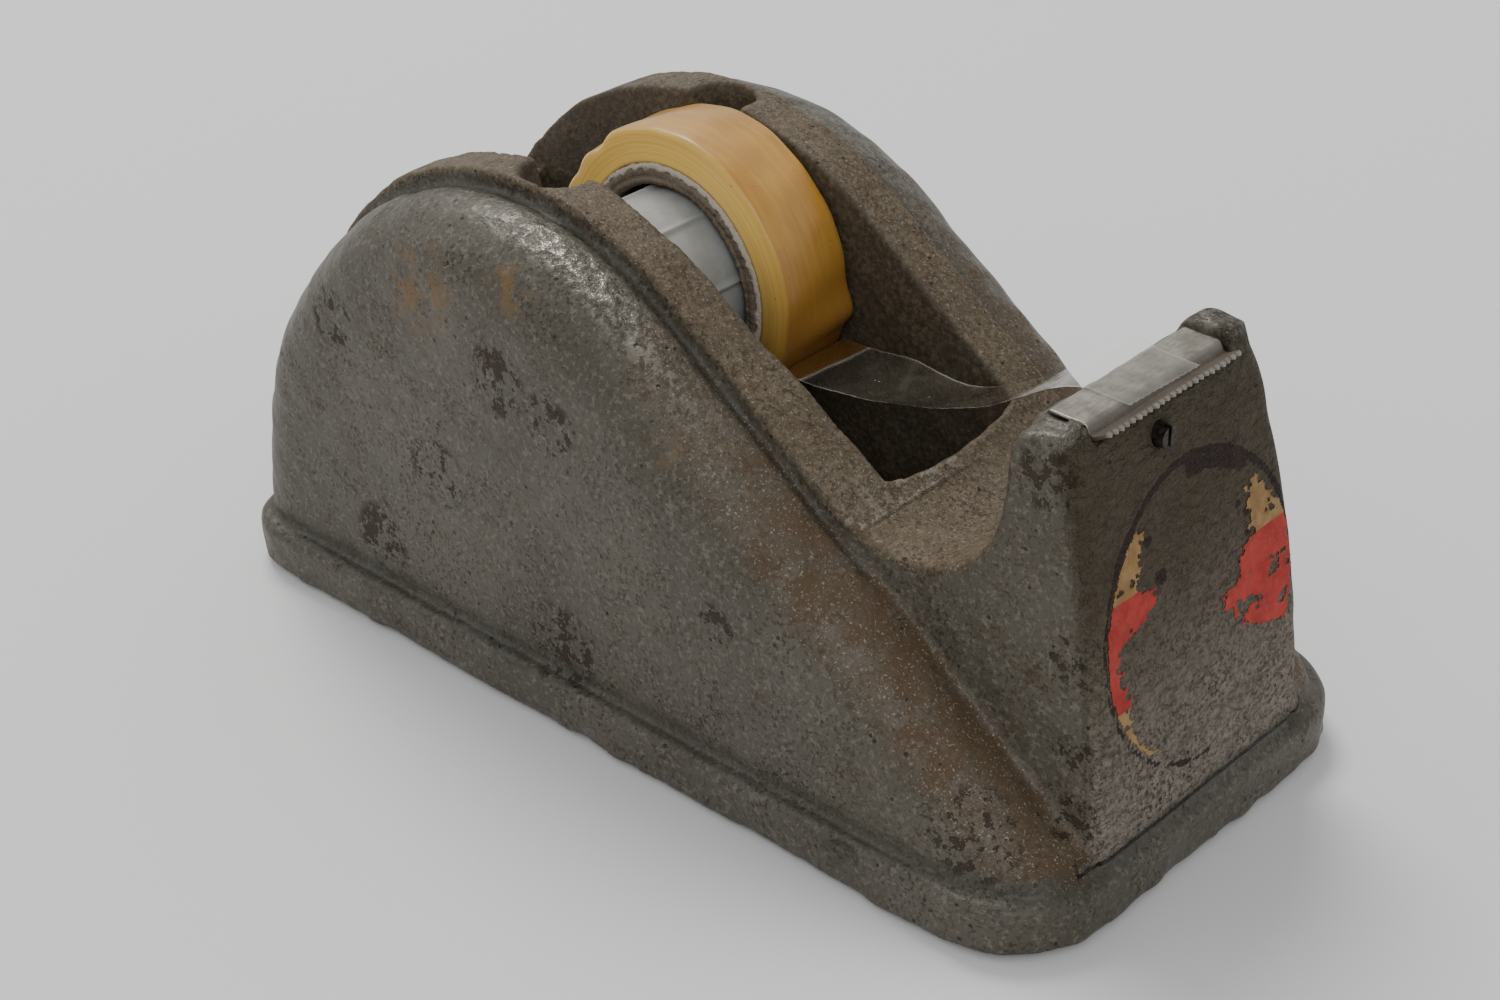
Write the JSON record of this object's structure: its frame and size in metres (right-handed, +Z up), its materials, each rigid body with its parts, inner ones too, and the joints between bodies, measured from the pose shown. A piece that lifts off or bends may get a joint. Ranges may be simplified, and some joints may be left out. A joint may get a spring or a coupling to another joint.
{
  "type": "desk tape dispenser",
  "caption": "Heavy cast desktop tape dispenser with a rounded back, a roll lying between two cheeks, an open-topped axle slot each side, and a raised serrated cutter at the front.",
  "frame": {"origin": "middle of the footprint, on the desk", "axes": "+X towards the cutter, +Z up, roll axis along Y"},
  "size_m": [0.144, 0.07, 0.0679],
  "materials": {
    "hammered_paint": "worn hammered grey paint",
    "plate_steel": "black paint",
    "screw_steel": "dull plated",
    "felt": "green felt",
    "blade_steel": "scratched, tarnished",
    "label_paper": "worn printed paper",
    "clear_film": "crinkled clear film",
    "axle_steel": "turned",
    "hub_plastic": "satin moulding",
    "paperboard": "wound paper, frayed edge",
    "amber_tape": "wound amber film"
  },
  "bodies": {
    "frame": {"body_casting": "hammered_paint", "base_plate": "plate_steel", "base_screws": "screw_steel", "felt_pad": "felt", "cutter_blade": "blade_steel", "blade_screw": "screw_steel", "label_left": "label_paper", "label_right": "label_paper", "tape_tail": "clear_film"},
    "axle": {"axle_pin": "axle_steel"},
    "spool": {"hub_drum": "hub_plastic", "hub_bush_near": "hub_plastic", "hub_bush_far": "hub_plastic", "tape_core": "paperboard", "tape_roll": "amber_tape"}
  },
  "joints": [
    {"name": "axle_lift", "type": "slide", "parent": "frame", "child": "axle", "axis": [-0.225, 0, 0.9744], "range_m": [0, 0.05]},
    {"name": "spool_spin", "type": "hinge", "parent": "axle", "child": "spool", "pos_m": [-0.0153, 0, 0.0483], "axis": [0, 1, 0], "continuous": true}
  ]
}
